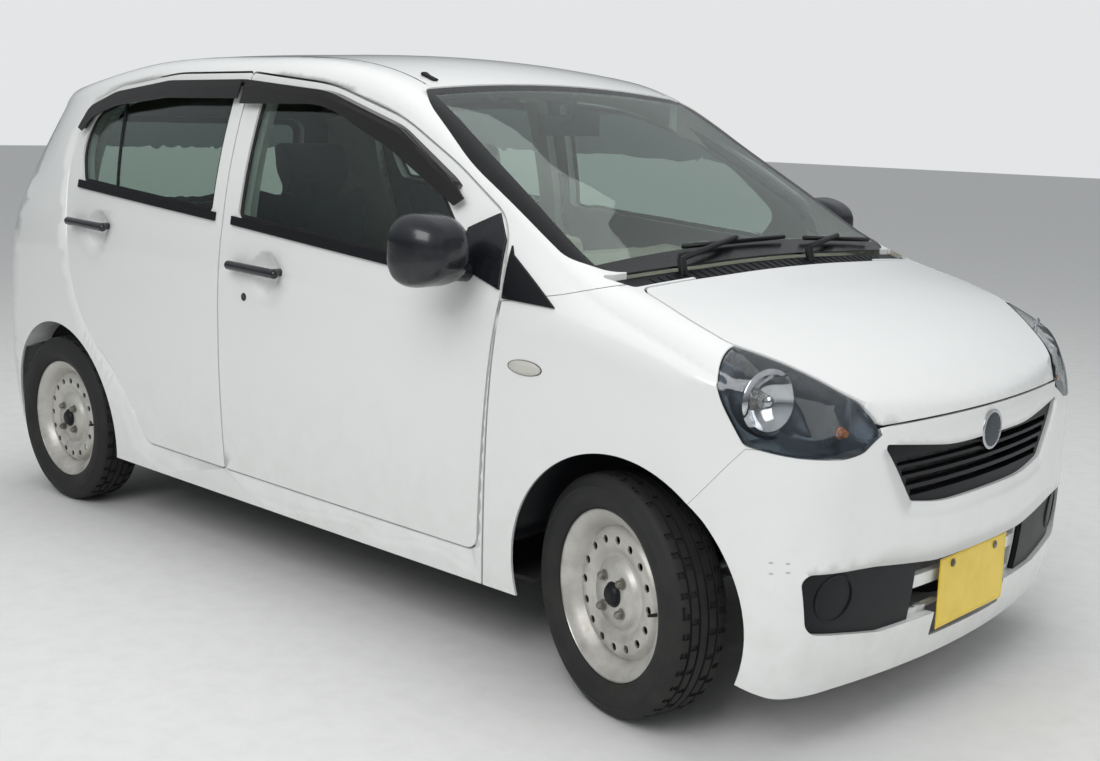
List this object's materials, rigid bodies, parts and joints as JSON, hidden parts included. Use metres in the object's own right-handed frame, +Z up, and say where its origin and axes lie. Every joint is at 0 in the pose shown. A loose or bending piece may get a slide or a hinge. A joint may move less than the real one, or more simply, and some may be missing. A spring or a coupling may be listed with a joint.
{
  "type": "kei car",
  "caption": "White five-door kei car, right-hand drive, with steel wheels, opening doors, tailgate and bonnet, and steered front wheels.",
  "frame": {"origin": "on the ground under the middle of the car's bounding box", "axes": "+X towards the nose, +Y to the car's left, +Z up"},
  "size_m": [3.395, 1.8552, 1.4997],
  "materials": {
    "white_paint": "gloss",
    "black_plastic": "satin",
    "grey_plastic": "textured",
    "rubber_black": "matte",
    "tyre_rubber": "matte",
    "wheel_paint": "satin",
    "glass_clear": "clear",
    "chrome_bowl": "mirror",
    "lens_clear": "clear",
    "lens_red": "gloss",
    "seat_cloth": "woven",
    "dash_plastic": "grained",
    "floor_paint": "satin",
    "chassis_steel": "satin",
    "cast_alloy": "cast",
    "knuckle_iron": "rough",
    "exhaust_steel": "dull",
    "plate_yellow": "gloss"
  },
  "bodies": {
    "body": {"bodyside_left": "white_paint", "bodyside_right": "white_paint", "cabin_mirror": "black_plastic", "cowl_and_sails": "black_plastic", "dashboard": "dash_plastic", "door_seals": "rubber_black", "engine": "cast_alloy", "exhaust": "exhaust_steel", "floor_and_bulkhead": "floor_paint", "front_bumper": "white_paint", "front_fender_left": "white_paint", "front_fender_right": "white_paint", "front_frame": "white_paint", "front_plate": "plate_yellow", "front_seats": "seat_cloth", "front_suspension": "chassis_steel", "fuel_tank": "chassis_steel", "headlamp_bowls": "chrome_bowl", "headlamp_lenses": "lens_clear", "nose_inserts": "black_plastic", "radiator": "cast_alloy", "rear_bumper": "white_paint", "rear_seat": "seat_cloth", "rear_suspension": "chassis_steel", "roof_panel": "white_paint", "seat_rails": "chassis_steel", "tail_lamps": "lens_red", "wheel_arch_liners": "black_plastic", "windscreen": "glass_clear", "wipers": "black_plastic"},
    "front_door_right": {"front_door_right": "white_paint", "front_door_glass_right": "glass_clear", "front_door_fittings_right": "grey_plastic"},
    "rear_door_right": {"rear_door_right": "white_paint", "rear_door_glass_right": "glass_clear", "rear_door_fittings_right": "grey_plastic"},
    "front_wheel_right": {"wheel_front_right": "wheel_paint", "tyre_front_right": "tyre_rubber"},
    "rear_wheel_right": {"wheel_rear_right": "wheel_paint", "tyre_rear_right": "tyre_rubber"},
    "steering_knuckle_right": {"knuckle_right": "knuckle_iron"},
    "front_door_left": {"front_door_left": "white_paint", "front_door_glass_left": "glass_clear", "front_door_fittings_left": "grey_plastic"},
    "rear_door_left": {"rear_door_left": "white_paint", "rear_door_glass_left": "glass_clear", "rear_door_fittings_left": "grey_plastic"},
    "front_wheel_left": {"wheel_front_left": "wheel_paint", "tyre_front_left": "tyre_rubber"},
    "rear_wheel_left": {"wheel_rear_left": "wheel_paint", "tyre_rear_left": "tyre_rubber"},
    "steering_knuckle_left": {"knuckle_left": "knuckle_iron"},
    "tailgate": {"tailgate": "white_paint", "tailgate_glass": "glass_clear", "rear_plate": "plate_yellow"},
    "bonnet": {"bonnet": "white_paint"},
    "steering_wheel": {"steering_wheel": "black_plastic"}
  },
  "joints": [
    {"name": "front_door_right_hinge", "type": "hinge", "parent": "body", "child": "front_door_right", "pos_m": [0.79, -0.7375, 0.66], "axis": [0, 0, 1], "range_deg": [0, 65]},
    {"name": "rear_door_right_hinge", "type": "hinge", "parent": "body", "child": "rear_door_right", "pos_m": [-0.319, -0.7375, 0.66], "axis": [0, 0, 1], "range_deg": [0, 70]},
    {"name": "steer_right", "type": "hinge", "parent": "body", "child": "steering_knuckle_right", "pos_m": [1.1875, -0.608, 0.185], "axis": [0, 0.1893, 0.9819], "range_deg": [-18, 48]},
    {"name": "front_wheel_right_spin", "type": "hinge", "parent": "steering_knuckle_right", "child": "front_wheel_right", "pos_m": [1.17137, -0.65038, 0.2775], "axis": [0.2588, 0.9659, 0], "continuous": true},
    {"name": "rear_wheel_right_spin", "type": "hinge", "parent": "body", "child": "rear_wheel_right", "pos_m": [-1.2675, -0.6475, 0.2775], "axis": [0, 1, 0], "continuous": true},
    {"name": "front_door_left_hinge", "type": "hinge", "parent": "body", "child": "front_door_left", "pos_m": [0.79, 0.7375, 0.66], "axis": [0, 0, -1], "range_deg": [0, 65]},
    {"name": "rear_door_left_hinge", "type": "hinge", "parent": "body", "child": "rear_door_left", "pos_m": [-0.319, 0.7375, 0.66], "axis": [0, 0, -1], "range_deg": [0, 70]},
    {"name": "steer_left", "type": "hinge", "parent": "body", "child": "steering_knuckle_left", "pos_m": [1.1875, 0.608, 0.185], "axis": [0, -0.1893, 0.9819], "range_deg": [-18, 48]},
    {"name": "front_wheel_left_spin", "type": "hinge", "parent": "steering_knuckle_left", "child": "front_wheel_left", "pos_m": [1.20363, 0.65038, 0.2775], "axis": [0.2588, 0.9659, 0], "continuous": true},
    {"name": "rear_wheel_left_spin", "type": "hinge", "parent": "body", "child": "rear_wheel_left", "pos_m": [-1.2675, 0.6475, 0.2775], "axis": [0, 1, 0], "continuous": true},
    {"name": "tailgate_hinge", "type": "hinge", "parent": "body", "child": "tailgate", "pos_m": [-1.3975, 0, 1.409], "axis": [0, 1, 0], "range_deg": [0, 78]},
    {"name": "bonnet_hinge", "type": "hinge", "parent": "body", "child": "bonnet", "pos_m": [1.128, 0, 0.982], "axis": [0, -1, 0], "range_deg": [0, 50]},
    {"name": "steering_wheel_turn", "type": "hinge", "parent": "body", "child": "steering_wheel", "pos_m": [0.33, -0.33, 0.905], "axis": [-0.8829, 0, 0.4695], "range_deg": [-300, 800]}
  ],
  "couplings": [
    {"joint": "steer_left", "follows": "steer_right", "ratio": 1},
    {"joint": "steering_wheel_turn", "follows": "steer_right", "ratio": 16}
  ]
}
